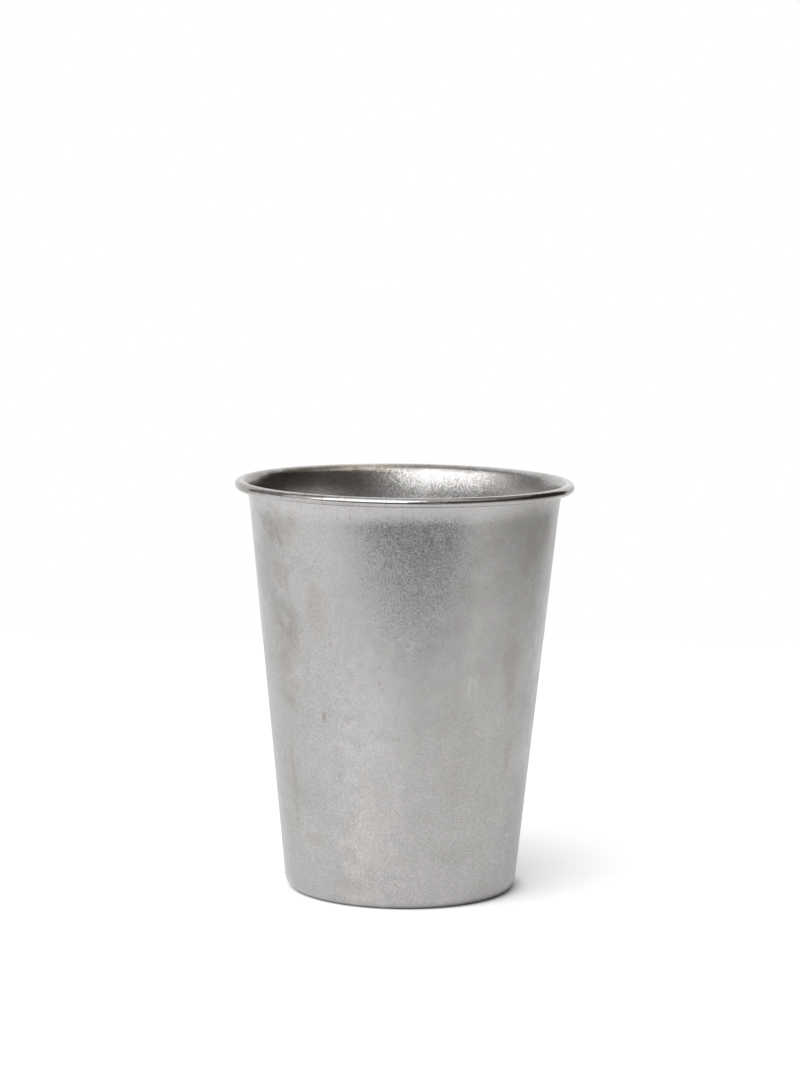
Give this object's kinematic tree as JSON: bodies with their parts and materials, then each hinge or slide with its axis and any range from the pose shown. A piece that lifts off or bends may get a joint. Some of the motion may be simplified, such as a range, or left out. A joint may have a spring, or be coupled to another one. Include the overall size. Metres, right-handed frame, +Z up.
{
  "type": "steel drinking cup",
  "caption": "Tapered single-wall steel drinking cup with a rolled rim and a raised base that stands on a flat ring.",
  "frame": {"origin": "centre of the standing ring, on the surface the cup stands on", "axes": "+Z up along the cup's axis, from the foot to the mouth"},
  "size_m": [0.0824, 0.0824, 0.1],
  "materials": {
    "tumbled_steel": "tumbled satin"
  },
  "bodies": {
    "root": {"tapered_wall": "tumbled_steel", "base_pan": "tumbled_steel"}
  },
  "joints": []
}
